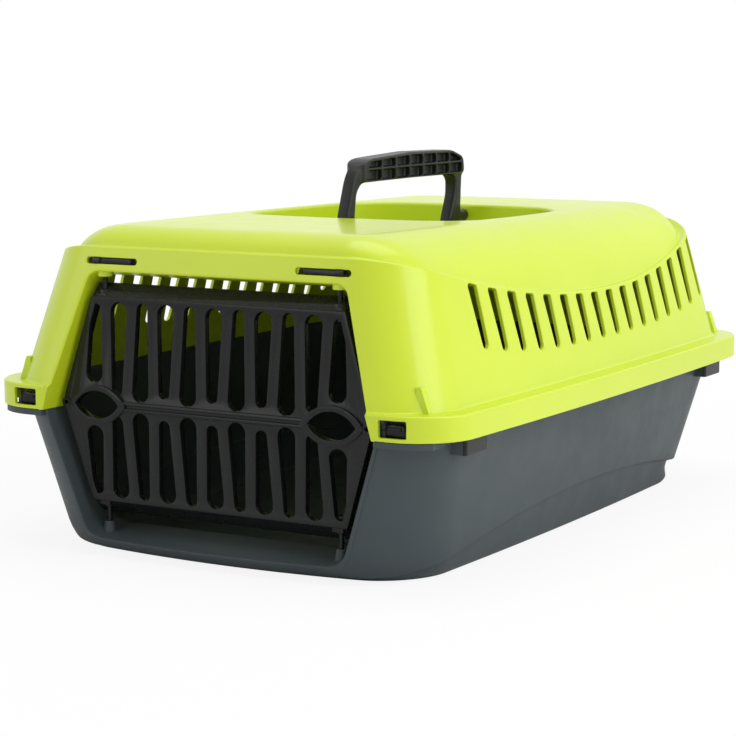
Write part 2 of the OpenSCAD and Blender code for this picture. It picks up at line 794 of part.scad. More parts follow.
module door_grille() {
    back = door_y + door_bow;
    color(black) difference() {
        union() {
            door_upper() {
                translate([0, 0, -door_t]) linear_extrude(height = door_t) half_plate(door_up);
                for (m = [0, 1]) mirror([m, 0, 0]) translate([0, 0, -door_flange])
                    linear_extrude(height = door_flange) side_rib(door_up);
            }
            door_lower() {
                translate([0, 0, -door_t]) linear_extrude(height = door_t) half_plate(door_down);
                for (m = [0, 1]) mirror([m, 0, 0]) translate([0, 0, -door_flange])
                    linear_extrude(height = door_flange) side_rib(door_down);
            }
            door_band(z_door_top, 0);
            door_band(z_door_foot, 1);
            for (e = [-1, 1]) bar_x(-eye_x + 17, eye_x - 17, door_y, z_door_mid + e * 1.9, 1.2);
            for (s = [-1, 1]) {
                translate([s * eye_x, door_y + 3, z_door_mid]) rotate([90, 0, 0])
                    linear_extrude(height = 4.6) lens(eye_length + 10, eye_height + 6.5);
                bar_y(s * (door_x - 3), door_y - 1, door_y + door_t, z_door_mid, 3);
                for (z = [lower_knuckle, knuckle_top - knuckle_h]) {
                    bar_z(s * hinge_x, hinge_y, z, z + knuckle_h, knuckle_r);
                    block([s * hinge_x - 3.6, back + 1, z + 1], [7.2, hinge_y - back - 2, 7]);
                }
            }
        }
        for (s = [-1, 1]) {
            play = s < 0 ? pin_play : 0.35;
            bar_z(s * hinge_x, hinge_y, z_door_foot - 20, z_door_top + 9, pin_r + play);
            bar_y(s * (door_x - 3), door_y - 2, door_y + 8, z_door_mid, 1.3);
            translate([s * eye_x, door_y + 20, z_door_mid]) rotate([90, 0, 0])
                linear_extrude(height = 7 * door_t) lens(eye_length, eye_height);
        }
        for (z = [z_door_foot - 1, knuckle_top - knuckle_h - 1])
            block([hinge_x - pin_r - 0.35, hinge_y, z],
                [2 * pin_r + 0.7, 12, knuckle_h + knuckle_lift + 3]);
    }
}

module lower_pin(s) {
    color(black) bar_z(s * hinge_x, hinge_y, lower_boss_top - pin_bite, lower_knuckle + knuckle_h - 2,
        pin_r);
}

module upper_pin(s) {
    color(black) bar_z(s * hinge_x, hinge_y, knuckle_top - knuckle_h + 2, lip_collar_z, pin_r);
}

// A slide whose tongue shows in the slot above the opening
module latch_slide(s) {
    color(black) top_frame() mirror([s < 0 ? 1 : 0, 0, 0]) translate([latch_u + 0.1, latch_v, 0]) {
        block([-latch_tongue / 2, -slide_h / 2, -wall - gap - slide_t],
            [latch_tongue, slide_h, slide_t]);
        block([-latch_tongue / 2 + 0.5, 0.5 - latch_slot_h / 2, -wall - gap - 0.5],
            [latch_tongue - 1, latch_slot_h - 1, wall + gap - 0.3]);
        block([latch_tongue / 2 - 6, 0.5 - latch_slot_h / 2, -wall - 1],
            [5.5, latch_slot_h - 1, wall + 1.6]);
    }
}

// The handle's outline seen from the side, and the hole for the hand
grip_top = z_pivot + handle_rise;
grip_low = grip_top - grip_h - 0.6;
function handle_outer() = rounded([[handle_y0 - handle_flare, z_pivot - 5],
    [handle_y0 - handle_flare + 1.5, z_pivot + 9], [handle_y0 + 4.5, grip_top - 3],
    [(handle_y0 + handle_y1) / 2, grip_top], [handle_y1 - 20, grip_top - 0.8],
    [handle_y1 - 4, grip_top - 6], [handle_y1, grip_top - 18], [handle_y1 - 2, z_pivot - 5]],
    [3, 20, 24, 0, 30, 9, 10, 3]);
function handle_inner() = rounded([[handle_y0 + leg_w - handle_flare + 1, z_pivot - 20],
    [handle_y0 + leg_w - handle_flare + 2, z_pivot + 8], [handle_y0 + leg_w - 6, grip_low - 7],
    [handle_y0 + leg_w, grip_low], [(handle_y0 + handle_y1) / 2, grip_low + 0.4],
    [handle_y1 - leg_w, grip_low], [handle_y1 - leg_w - 1, z_pivot + 15],
    [handle_y1 - leg_w - 8, z_pivot - 1], [handle_y1 - leg_w - 8, z_pivot - 20]],
    [0, 12, 8, 5, 0, 7, 14, 6, 0]);

module handle() {
    front_reach = recess_y0 + 0.6;
    rear_reach = recess_y1 - 0.6;
    grip_y0 = handle_y0 + 13;
    span = handle_y1 - 5 - grip_y0;
    pitch = span / pocket_count;
    row = (grip_h - 4.4) / 2;
    color(anthracite) difference() {
        union() {
            along_x(handle_outer(), leg_t / 2);
            intersection() {
                along_x(handle_outer(), grip_t / 2);
                translate([0, grip_y0 - 8, (grip_top + grip_low) / 2]) rotate([-90, 0, 0])
                    linear_extrude(height = span + 18) grip_section();
                linear_extrude(height = grip_top + 1)
                    polygon(outline(grip_t / 2, grip_y0 - 7, handle_y1 + 2, grip_t / 2 - 1));
            }
            bar_y(0, front_reach, handle_y0, z_pivot, hboss_r);
            bar_y(0, handle_y1 - 6, rear_reach, z_pivot, hboss_r);
        }
        along_x(handle_inner(), 30);
        intersection() {
            for (s = [0, 1]) mirror([s, 0, 0]) for (i = [0:pocket_count - 1]) for (j = [0, 1])
                block([grip_t / 2 - pocket_depth, grip_y0 + i * pitch,
                    grip_low + 1.4 + j * (row + 1.6)], [pocket_depth + 5, pitch - 1.5, row]);
            translate([0, 0, -pocket_rim]) along_x(handle_outer(), 30);
            translate([0, -1.5 * pocket_rim, 0]) along_x(handle_outer(), 30);
        }
        bar_y(0, front_reach - 1, front_reach + pin_seat, z_pivot, hpin_r + 0.08);
        bar_y(0, rear_reach - pin_seat, rear_reach + 1, z_pivot, hpin_r + 0.08);
    }
}

module grip_section() {
    r = 4;
    x = grip_t / 2 - r;
    y = grip_h / 2 + 0.8 - r;
    for (i = [-1, 1]) for (j = [-1, 1]) translate([i * x, j * y]) circle(r = r);
    square([2 * x, 2 * y + 2 * r], center = true);
    square([2 * x + 2 * r, 2 * y], center = true);
}

module handle_pin(front) {
    seat = front ? recess_y0 - wall - wall_boss_l + 1 : recess_y1 + wall + wall_boss_l - 1;
    tip = front ? recess_y0 + 0.6 + pin_seat - 0.4 : recess_y1 - 0.6 - pin_seat + 0.4;
    color(anthracite) bar_y(0, min(seat, tip), max(seat, tip), z_pivot, hpin_r);
}

// A clip that pivots in the tub's cheeks, with its tongue behind the rim's window
module corner_clip(s, e) {
    pivot_l = cheek_gap + cheek_t - 0.3;
    color(black) mirror([0, e < 0 ? 1 : 0, 0]) translate([s * clip_x, 0, 0]) {
        bar_x(-clip_w / 2, clip_w / 2, clip_axis_y(e), clip_axis_z, clip_barrel_r);
        bar_x(-clip_w / 2 - pivot_l, clip_w / 2 + pivot_l, clip_axis_y(e), clip_axis_z, clip_pivot_r);
        block([-clip_w / 2, clip_y(e) - clip_tongue_t / 2, clip_axis_z],
            [clip_w, clip_tongue_t, z_rim + clip_top - clip_axis_z]);
        block([-clip_w / 2 + 2, clip_y(e) - clip_tongue_t / 2, z_rim + clip_top - 3.2],
            [clip_w - 4, clip_tongue_t + 0.9, 1.6]);
    }
}

base_shell();
top_shell();
door_grille();
lower_pin(-1);  // door_pin_lower_left
lower_pin(1);  // door_pin_lower_right
upper_pin(-1);  // door_pin_upper_left
upper_pin(1);  // door_pin_upper_right
latch_slide(-1);  // latch_slide_left
latch_slide(1);  // latch_slide_right
handle();
handle_pin(true);  // handle_pin_front
handle_pin(false);  // handle_pin_rear
corner_clip(-1, -1);  // corner_clip_front_left
corner_clip(1, -1);  // corner_clip_front_right
corner_clip(-1, 1);  // corner_clip_rear_left
corner_clip(1, 1);  // corner_clip_rear_right
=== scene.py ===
import bpy
import bmesh
import json
import math
import numpy as np
from mathutils import Matrix, Vector
from mathutils.bvhtree import BVHTree


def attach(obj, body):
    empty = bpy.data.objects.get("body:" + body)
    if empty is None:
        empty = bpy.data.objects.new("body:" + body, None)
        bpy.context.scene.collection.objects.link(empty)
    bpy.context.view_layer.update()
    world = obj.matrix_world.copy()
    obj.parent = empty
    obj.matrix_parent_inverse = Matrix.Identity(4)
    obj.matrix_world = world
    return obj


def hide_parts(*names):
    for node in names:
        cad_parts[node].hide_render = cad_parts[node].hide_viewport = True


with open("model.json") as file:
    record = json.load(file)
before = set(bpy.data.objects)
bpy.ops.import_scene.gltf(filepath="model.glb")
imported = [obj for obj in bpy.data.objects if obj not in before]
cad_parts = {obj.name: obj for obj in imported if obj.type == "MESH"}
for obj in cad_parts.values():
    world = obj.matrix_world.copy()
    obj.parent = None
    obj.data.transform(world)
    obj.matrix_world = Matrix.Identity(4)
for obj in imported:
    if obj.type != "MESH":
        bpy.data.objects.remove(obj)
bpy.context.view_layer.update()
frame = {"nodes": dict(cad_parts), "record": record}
nodes = frame["nodes"]
scene = bpy.context.scene
coll = scene.collection


# ---------------------------------------------------------------- camera
def look():
    """The camera that was fitted to the photograph: its lens, direction, roll and place."""
    data = bpy.data.cameras.new("camera")
    data.lens = 110.05
    data.sensor_width = 36
    data.clip_start = 0.01
    data.clip_end = 50
    cam = bpy.data.objects.new("camera", data)
    coll.objects.link(cam)
    a, e, roll = math.radians(30.22), math.radians(7.91), -0.00314
    back = Vector((math.sin(a) * math.cos(e), -math.cos(a) * math.cos(e), math.sin(e)))
    right = Vector((math.cos(a), math.sin(a), 0))
    up = back.cross(right)
    r = right * math.cos(roll) + up * math.sin(roll)
    u = up * math.cos(roll) - right * math.sin(roll)
    p = Vector((0.72888, -1.28722, 0.29872))
    cam.matrix_world = Matrix(((r.x, u.x, back.x, p.x), (r.y, u.y, back.y, p.y),
                               (r.z, u.z, back.z, p.z), (0, 0, 0, 1)))
    scene.camera = cam


look()
scene.view_settings.view_transform = "Standard"


# ---------------------------------------------------------------- materials
def lin(r, g, b):
    """A colour of 0 to 255 a channel as linear values."""
    def channel(c):
        return c / 12.92 if c <= 0.04045 else ((c + 0.055) / 1.055) ** 2.4

    return (channel(r / 255), channel(g / 255), channel(b / 255), 1)


def plastic(name, pale, deep, rough, spread, grain, depth, wave, coat=0.0, specular=0.5):
    """Moulded plastic: slow colour drift, uneven gloss, fine grain and slight sink waves.

    The colour drifts from deep to pale, the roughness is rough plus or minus spread, grain
    and depth are the fine bumps' density and strength, and wave is the sink waves' strength."""
    m = bpy.data.materials.new(name)
    m.use_nodes = True
    t = m.node_tree
    t.nodes.clear()
    out = t.nodes.new("ShaderNodeOutputMaterial")
    b = t.nodes.new("ShaderNodeBsdfPrincipled")
    t.links.new(b.outputs[0], out.inputs[0])
    b.inputs["Coat Weight"].default_value = coat
    b.inputs["Coat Roughness"].default_value = 0.12
    b.inputs["Specular IOR Level"].default_value = specular
    co = t.nodes.new("ShaderNodeTexCoord")

    def noise(scale, detail, rough_):
        n = t.nodes.new("ShaderNodeTexNoise")
        n.inputs["Scale"].default_value = scale
        n.inputs["Detail"].default_value = detail
        n.inputs["Roughness"].default_value = rough_
        t.links.new(co.outputs["Object"], n.inputs["Vector"])
        return n

    drift = noise(9, 3, 0.5)
    ramp = t.nodes.new("ShaderNodeValToRGB")
    ramp.color_ramp.elements[0].position = 0.3
    ramp.color_ramp.elements[0].color = deep
    ramp.color_ramp.elements[1].position = 0.7
    ramp.color_ramp.elements[1].color = pale
    t.links.new(drift.outputs["Fac"], ramp.inputs["Fac"])
    t.links.new(ramp.outputs["Color"], b.inputs["Base Color"])

    gloss = noise(46, 4, 0.6)
    mr = t.nodes.new("ShaderNodeMapRange")
    mr.inputs["From Min"].default_value = 0.3
    mr.inputs["From Max"].default_value = 0.7
    mr.inputs["To Min"].default_value = rough - spread
    mr.inputs["To Max"].default_value = rough + spread
    t.links.new(gloss.outputs["Fac"], mr.inputs["Value"])
    t.links.new(mr.outputs["Result"], b.inputs["Roughness"])

    fine = noise(grain, 2, 0.5)
    bump = t.nodes.new("ShaderNodeBump")
    bump.inputs["Strength"].default_value = depth
    bump.inputs["Distance"].default_value = 0.0002
    t.links.new(fine.outputs["Fac"], bump.inputs["Height"])
    slow = noise(22, 1, 0.4)
    sink = t.nodes.new("ShaderNodeBump")
    sink.inputs["Strength"].default_value = wave
    sink.inputs["Distance"].default_value = 0.002
    t.links.new(slow.outputs["Fac"], sink.inputs["Height"])
    t.links.new(sink.outputs["Normal"], bump.inputs["Normal"])
    t.links.new(bump.outputs["Normal"], b.inputs["Normal"])
    return m


GREEN = plastic("green_plastic", lin(205, 224, 40), lin(199, 219, 33),
                rough=0.34, spread=0.05, grain=1900, depth=0.12, wave=0.03, coat=0.25)
DARK = plastic("anthracite_plastic", lin(73, 81, 84), lin(66, 74, 77),
               rough=0.44, spread=0.06, grain=1500, depth=0.3, wave=0.03, specular=0.2)
BLACK = plastic("black_plastic", lin(24, 25, 25), lin(19, 20, 20),
                rough=0.26, spread=0.05, grain=1300, depth=0.1, wave=0.06, coat=0.04,
                specular=0.25)
GRIP = plastic("handle_plastic", lin(33, 35, 33), lin(27, 29, 28),
               rough=0.36, spread=0.05, grain=1500, depth=0.25, wave=0.03, specular=0.25)
SLOTS = {"green": GREEN, "anthracite": DARK, "black": BLACK}


# ---------------------------------------------------------------- pieces from the frame
BODY_OF = {n: body for body, members in frame["record"]["behaviour"]["bodies"].items()
           for n in members}
SLOT_OF = {s["node"]: s["material_slot"] for s in frame["record"]["subparts"]}


def stands_for(o, node, material=None):
    """Gives a piece the material of the CAD solid's slot, or the one given, and its body, and hides
    the CAD solid that it stands for.
    """
    o.data.materials.clear()
    o.data.materials.append(material or SLOTS[SLOT_OF[node]])
    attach(o, BODY_OF[node])
    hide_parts(node)


def refined(node, width):
    """A copy of a CAD solid with its sharp edges rounded to a width, which stands for it."""
    me = nodes[node].data.copy()
    bm = bmesh.new()
    bm.from_mesh(me)
    bmesh.ops.remove_doubles(bm, verts=bm.verts, dist=1e-6)
    bmesh.ops.dissolve_limit(bm, angle_limit=math.radians(0.3), verts=bm.verts, edges=bm.edges)
    for f in bm.faces:
        f.smooth = True
    bm.to_mesh(me)
    bm.free()
    o = bpy.data.objects.new(node + "_look", me)
    coll.objects.link(o)
    bev = o.modifiers.new("edges", "BEVEL")
    bev.width = width
    bev.segments = 2
    bev.limit_method = "ANGLE"
    bev.angle_limit = math.radians(35)
    bev.use_clamp_overlap = True
    bev.harden_normals = True
    stands_for(o, node)


def soft_handle():
    """The handle with moulded, rounded edges: softest on its legs, crisper round the pockets.

    The solid is remeshed evenly, and each round moves a vertex half way to its neighbours'
    middle. The legs are below the grip, before its front end and behind its rear end."""
    voxel, grip_low, grip_front, grip_rear = 0.0005, 0.2175, -0.0500, 0.0825
    few, more = 5, 50
    me = nodes["handle"].data.copy()
    o = bpy.data.objects.new("handle_look", me)
    coll.objects.link(o)
    m = o.modifiers.new("even", "REMESH")
    m.mode = "VOXEL"
    m.voxel_size = voxel
    me = bpy.data.meshes.new_from_object(o.evaluated_get(
        bpy.context.evaluated_depsgraph_get()))
    o.modifiers.clear()
    o.data = me
    n = len(me.vertices)
    co = np.empty(n * 3)
    me.vertices.foreach_get("co", co)
    co = co.reshape(n, 3)
    ends = np.empty(len(me.edges) * 2, int)
    me.edges.foreach_get("vertices", ends)
    a, b = ends[0::2], ends[1::2]
    count = np.bincount(np.concatenate([a, b]), minlength=n)[:, None]
    leg = np.maximum.reduce([(grip_low - co[:, 2]) / 0.004, (grip_front - co[:, 1]) / 0.004,
                             (co[:, 1] - grip_rear) / 0.003])
    rounds = few + more * np.clip(leg, 0, 1)
    for i in range(few + more):
        mean = np.stack([np.bincount(a, co[b, k], n) + np.bincount(b, co[a, k], n)
                         for k in range(3)], 1) / count
        co += np.where(i < rounds, 0.5, 0.0)[:, None] * (mean - co)
    me.vertices.foreach_set("co", co.ravel())
    me.update()
    me.shade_smooth()
    stands_for(o, "handle", GRIP)


for n in nodes:
    o = nodes[n]
    o.data.materials.clear()
    o.data.materials.append(SLOTS[SLOT_OF[n]])

soft_handle()
refined("door_grille", 0.0009)
for n in ("latch_slide_left", "latch_slide_right", "corner_clip_front_left",
          "corner_clip_front_right", "corner_clip_rear_left", "corner_clip_rear_right"):
    refined(n, 0.0005)


# ---------------------------------------------------------------- sizes, in millimetres
HL, HW = 230.0, 165.0           # half of the rim's length and width
ZR, RH = 88.0, 15.0             # the rim's lower edge, and the rim's height
WALL = 2.5                      # wall thickness of both shells
ZF, ZT = 100.5, 100.2           # the underside of the top's flange, and the tub's top
ZTOP, ZL = 199.0, 186.5         # the roof, and the ledge at its ends
ZLIP, ZS = 172.0, 12.5          # the opening's lip and sill
WALL_W, WALL_REAR = 153.0, 221.0    # where the top's walls stand at the flange
STEP = 3.5                      # how far the roof steps in above the ledge
TUB_W, TUB_F, TUB_R = 150.2, -227.0, 220.7  # the tub's half width, front and rear at its top
SIDE = math.tan(math.radians(15))           # leans of the top's sides, front and rear
FRONT = math.radians(11)
REAR = math.tan(math.radians(3.5))
SETBACK = 14.5                  # how far the tub's front leans back
TLEAN = math.atan(SETBACK / (ZR - ZS))
SH_W, SH_H = 35.0, 36.0         # reach and height of the roof's shoulder at the sides
BR_W, BR_H = 18.0, 13.0         # the same at the front and rear
FALL, CROWN = 4.0, 0.5          # the roof's fall to the rear, and its crown
REAR_BOW, SIDE_BOW = 2, 4       # how far the rear and the long sides bow outwards
BOW = 13                        # how far the tub's front bows at the sill
CHIN = 14                       # how far the tub slopes back from the sill to the floor
FLOOR_W, FLOOR_REAR = 131, HL - 28  # the floor's half width, and its rear edge
FLOOR_R = 5                     # radius of the floor's lower edge
OPEN_W, OPEN_END = 115, 89      # the opening's half width at the rim and at its ends
COLLAR = 20                     # depth of the collar behind the opening
GAP = 0.3                       # gap between parts that move against each other
HINGE_X, HINGE_Y = 82, -207     # the door's pins
PIN_R, BOSS_R = 1.5, 4.5        # radii of a door pin and of its boss
LATCH_X, LATCH_V = 73.5, 91.95  # the latch slots' middles on the front's plane
CLIP_X = 127.5                  # the corner clips' middles
LUG_Y, LUG_L, LUG_H = HL - 52, 14, 10.7     # the lugs' middles, half length and height
RECESS = (-74, 98)              # the recess's front and rear
RECESS_W, RECESS_D = 85, 26     # its half width and depth
PIVOT_Z = ZTOP - 10             # the handle's pivot
VENTS, VENT_PITCH, VENT_MID = 16, 22, 20    # the vents in each side wall


# ---------------------------------------------------------------- outlines and skins
def template(na, ns, ne):
    """The points of a rounded rectangle as shares: na in each corner, ns on each long side
    and ne on each end. Each row holds its corner's side in X, cos, its share in Y, and sin."""
    rows = []

    def corner(sx, ty, a0):
        for i in range(na + 1):
            a = math.radians(a0 + 90 * i / na)
            rows.append((sx, math.cos(a), ty, math.sin(a)))

    corner(1, 0, -90)
    rows.extend((1, 1, i / (ns + 1), 0) for i in range(1, ns + 1))
    corner(1, 1, 0)
    rows.extend((1 - 2 * i / (ne + 1), 0, 1, 1) for i in range(1, ne + 1))
    corner(-1, 1, 90)
    rows.extend((-1, -1, 1 - i / (ns + 1), 0) for i in range(1, ns + 1))
    corner(-1, 0, 180)
    rows.extend((2 * i / (ne + 1) - 1, 0, 0, -1) for i in range(1, ne + 1))
    return np.array(rows, float).T


TP = template(14, 56, 26)


def outline(w, y0, y1, r, front=0.0, rear=0.0, side=0.0):
    """A rounded rectangle with bowed sides, whose reach includes the bows."""
    cx, ux, ty, uy = TP
    x, f, b = w - side, y0 + front, y1 - rear
    px = cx * (x - r) + r * ux
    py = (1 - ty) * (f + r) + ty * (b - r) + r * uy
    across = 1 - (px / x) ** 2
    t = (2 * py - f - b) / (b - f)
    along = 1 - np.minimum(1, t * t)
    return np.stack([px + side * along * px / x,
                     py - front * across * np.maximum(0, -t) + rear * across * np.maximum(0, t)], 1)


def come_in(reach, t):
    """How far a quarter round of the given reach has come in at height share t."""
    return reach * (1 - np.sqrt(np.maximum(0, 1 - t * t)))


def top_ring(z, d, s=0.0, f=0.0, tighten=0.0):
    """The top shell's outline at height z, inset by d, and at the shoulder by s and f."""
    rise = z - ZF
    r = np.maximum(8, 38 - d - 22 * tighten)
    return outline(WALL_W - SIDE * rise - d - s, -HL + math.tan(FRONT) * (z - ZR) + d + f,
                   WALL_REAR - REAR * rise - d - f, r, 0, REAR_BOW, SIDE_BOW)


def ledge_z(y):
    """The ledge's height, which dips along the sides."""
    low, dip = 34.96, 35
    ahead = y < low
    t = np.minimum(1, np.abs(y - low) / np.where(ahead, HL - 20 + low, HL - 10 - low))
    return ZL - dip + dip * t ** np.where(ahead, 2.0, 2.1)


def fallen(p, z, t=1):
    """An outline at height z, with t of the roof's fall to the rear."""
    return np.column_stack([p, z - FALL * t * (p[:, 1] + HL) / (2 * HL)])


def roof_ring(z, d, out=0.0):
    """The roof's outline at height z, inset by d and moved out by out."""
    edge, sh, fh = ZTOP - CROWN - d, SH_H - d, BR_H - d
    t = np.clip((z - edge + sh) / sh, 0, 1)
    q = np.clip((z - edge + fh) / fh, 0, 1)
    p = top_ring(z, d + STEP - out, come_in(SH_W - d, t), come_in(BR_W - d, q), t ** 4)
    return fallen(p, z, t)


def flat(p, z):
    """An outline at height z, which may differ from point to point."""
    return np.column_stack([p, np.broadcast_to(z, len(p))])


def top_skin(d, foot, soft):
    """The top shell's whole outer or inner skin as one loft, with the ledge in it."""
    zl = np.full(TP.shape[1], ZL)
    for _ in range(4):
        zl = ledge_z(top_ring(zl, d)[:, 1])
    zl = zl - d
    n, m, turn = 6, 22, 1.2
    rings = [flat(top_ring(foot, d), foot)]
    for g in (0.25, 0.5, 0.75, 1):
        z = foot + g * (zl - soft - foot)
        rings.append(flat(top_ring(z, d), z))
    for i in range(1, n + 1):
        a = math.pi / 2 * i / n
        z = zl - soft + soft * math.sin(a)
        rings.append(flat(top_ring(z, d + soft * (1 - math.cos(a))), z))
    for i in range(0, n + 1):
        a = math.pi / 2 * i / n
        z = zl + turn * (1 - math.cos(a))
        rings.append(roof_ring(z, d, turn * (1 - math.sin(a))))
    edge = ZTOP - CROWN - d
    for i in range(1, m + 1):
        z = zl + turn + (edge - zl - turn) * math.sin(math.pi / 2 * i / m)
        rings.append(roof_ring(z, d))
    for u in (0.15, 0.35, 0.6, 1):
        z = edge + CROWN * (1 - (1 - u) ** 2)
        p = top_ring(edge, d + STEP, SH_W - d + 40 * u, BR_W - d + 60 * u, 1)
        rings.append(fallen(p, z))
    return rings


def tub_ring(z, d, heel=0.0, f=0.0):
    """The tub's outline at height z, inset by d, with the heel's and the chin's steps."""
    t = np.clip(z / ZR, 0, 1)
    bow = BOW * (1 - t)
    k = np.clip(f / 8.4, 0, 1)
    extra = (1 - k) * 9 * (1 - t) - k * 0.2 * f
    return outline(FLOOR_W + (TUB_W - FLOOR_W) * t - d,
                   TUB_F + SETBACK * (1 - t) + d - bow + f,
                   FLOOR_REAR + (TUB_R - FLOOR_REAR) * t - d - heel, 42 + extra - d, bow,
                   REAR_BOW, SIDE_BOW)


def arch_z(y):
    """The height of the raised arch along the tub's sides."""
    return np.maximum(1, 28.5 - 21.5 * ((y - 15) / 205) ** 2)


def tub_skin(d, floor, top, soft):
    """The tub's whole outer or inner skin as one loft, with the arch's step in it."""
    def ring(z, low):
        k = np.clip((z - floor) / FLOOR_R, 0, 1)
        c = np.maximum(0, 1 - (z - floor) / ZS)
        inset = d + come_in(FLOOR_R, 1 - k) + low * 2.5
        return flat(tub_ring(z, inset, 6.5 * low, CHIN * c), z)

    za = np.full(TP.shape[1], 10.0)
    for _ in range(4):
        za = arch_z(ring(za, 0)[:, 1])
    za = za + floor
    rings = []
    for i in range(0, 13):
        g = (i / 12) ** 1.6
        rings.append(ring(floor + (za - floor) * g, 1.0))
    for i in range(1, 4):
        a = math.pi / 2 * i / 3
        rings.append(ring(za + soft * 0.4 * math.sin(a), 1 - 0.75 * (1 - math.cos(a))))
    for i in range(1, 5):
        a = math.pi / 2 * i / 4
        rings.append(ring(za + soft * 0.4 + soft * (1 - math.cos(a)), 0.25 * (1 - math.sin(a))))
    base = za + soft * 1.4
    for g in (0.04, 0.1, 0.18, 0.3, 0.45, 0.6, 0.8, 1):
        rings.append(ring(base + (top - base) * g, 0.0))
    return rings


def rim_ring(d, z):
    """The rim's outline at height z, inset by d."""
    return flat(outline(HW - d, -HL + d, HL - d, 34 - d, 0, REAR_BOW, SIDE_BOW + 1), z)


# ---------------------------------------------------------------- mesh tools
def solid(rings):
    """A closed mesh through rings of points, each end closed by a fan."""
    n, m = len(rings[0]), len(rings)
    v = np.concatenate([np.concatenate(rings), [rings[0].mean(0)], [rings[-1].mean(0)]])
    faces = []
    for k in range(m - 1):
        a = k * n
        for j in range(n):
            i = (j + 1) % n
            faces.append((a + j, a + i, a + n + i, a + n + j))
    for j in range(n):
        i = (j + 1) % n
        faces.append((n * m, i, j))
        faces.append((n * m + 1, (m - 1) * n + j, (m - 1) * n + i))
    me = bpy.data.meshes.new("part")
    me.from_pydata((v * 0.001).tolist(), [], faces)
    bm = bmesh.new()
    bm.from_mesh(me)
    bmesh.ops.recalc_face_normals(bm, faces=bm.faces)
    bm.to_mesh(me)
    bm.free()
    o = bpy.data.objects.new("part", me)
    coll.objects.link(o)
    return o


def join(parts):
    """One object of several, whose own objects go."""
    bm = bmesh.new()
    for o in parts:
        bm.from_mesh(o.data)
        bpy.data.objects.remove(o)
    me = bpy.data.meshes.new("joined")
    bm.to_mesh(me)
    bm.free()
    o = bpy.data.objects.new("joined", me)
    coll.objects.link(o)
    return o


def carve(a, b, op="DIFFERENCE"):
    """Cuts, joins or intersects a with b, which goes."""
    m = a.modifiers.new("b", "BOOLEAN")
    m.operation = op
    m.solver = "MANIFOLD"
    m.object = b
    dg = bpy.context.evaluated_depsgraph_get()
    me = bpy.data.meshes.new_from_object(a.evaluated_get(dg))
    a.modifiers.clear()
    a.data = me
    bpy.data.objects.remove(b)
    return a


def twin(o):
    """A copy of an object with its own mesh."""
    c = bpy.data.objects.new("twin", o.data.copy())
    coll.objects.link(c)
    return c


def box(lo, hi):
    """A box between two corners."""
    (x0, y0, z0), (x1, y1, z1) = lo, hi
    q = np.array([[x0, y0], [x1, y0], [x1, y1], [x0, y1]], float)
    return solid([flat(q, z0), flat(q, z1)])


def dense(poly, step=2.5):
    """A polygon with points at least every step."""
    pts = []
    p = np.array(poly, float)
    for i in range(len(p)):
        a, b = p[i], p[(i + 1) % len(p)]
        k = max(1, int(np.ceil(np.linalg.norm(b - a) / step)))
        pts.extend(a + (b - a) * j / k for j in range(k))
    return np.array(pts)


def outward(p):
    """The outward directions at a polygon's points."""
    e = np.roll(p, -1, 0) - np.roll(p, 1, 0)
    n = np.stack([e[:, 1], -e[:, 0]], 1)
    area = np.sum(p[:, 0] * np.roll(p[:, 1], -1) - np.roll(p[:, 0], -1) * p[:, 1])
    n = n / np.maximum(np.linalg.norm(n, axis=1, keepdims=True), 1e-9)
    return n if area > 0 else -n


def arc(cx, cy, r, a0, a1, n):
    """Points on an arc."""
    a = np.radians(np.linspace(a0, a1, n + 1))
    return np.stack([cx + r * np.cos(a), cy + r * np.sin(a)], 1)


def filleted(pts, radii, n=12):
    """A polygon with its corners rounded to their own radii."""
    out = []
    m = len(pts)
    for i in range(m):
        a, b, c = (np.array(pts[k % m], float) for k in (i - 1, i, i + 1))
        if radii[i] <= 0:
            out.append(b)
            continue
        u, v = (a - b) / np.linalg.norm(a - b), (c - b) / np.linalg.norm(c - b)
        half = math.acos(float(u @ v)) / 2
        mid = b + (u + v) / np.linalg.norm(u + v) * radii[i] / math.sin(half)
        p, q = b + u * radii[i] / math.tan(half), b + v * radii[i] / math.tan(half)
        a0 = math.atan2(*(p - mid)[::-1])
        a1 = math.atan2(*(q - mid)[::-1])
        turn = (a1 - a0 + math.pi) % (2 * math.pi) - math.pi
        for k in range(n + 1):
            w = a0 + turn * k / n
            out.append(mid + radii[i] * np.array([math.cos(w), math.sin(w)]))
    return np.array(out)


class Frame:
    """A plane in space, with a third axis that points out of it."""

    def __init__(self, o, u, v, w):
        self.o, self.u, self.v, self.w = (np.array(a, float) for a in (o, u, v, w))

    def at(self, p, depth):
        d = np.broadcast_to(depth, len(p))[:, None]
        return self.o + p[:, :1] * self.u + p[:, 1:2] * self.v + d * self.w


def tree(o):
    """A search tree of an object's faces, for rays."""
    bm = bmesh.new()
    bm.from_mesh(o.data)
    t = BVHTree.FromBMesh(bm)
    bm.free()
    return t


def eased(poly, fr, t, r, low, high, from_surface=False):
    """A cutter along a frame's third axis whose mouth rounds the edge where it meets a surface.

    It starts at depth low in the frame, or from the surface, and ends high above it."""
    far, n = 60.0, 4
    p = dense(poly)
    nor = outward(p)
    deep = []
    for s in fr.at(p, far):
        hit = t.ray_cast(Vector(s * 0.001), Vector(-fr.w))
        deep.append(far - hit[3] * 1000 if hit[0] else np.nan)
    deep = np.array(deep)
    deep[np.isnan(deep)] = np.nanmedian(deep)
    rings = [fr.at(p, deep + low if from_surface else low)]
    for i in range(n + 1):
        a = math.pi / 2 * i / n
        rings.append(fr.at(p + nor * r * (1 - math.cos(a)), deep - r + r * math.sin(a)))
    rings.append(fr.at(p + nor * r, deep + high))
    return solid(rings)


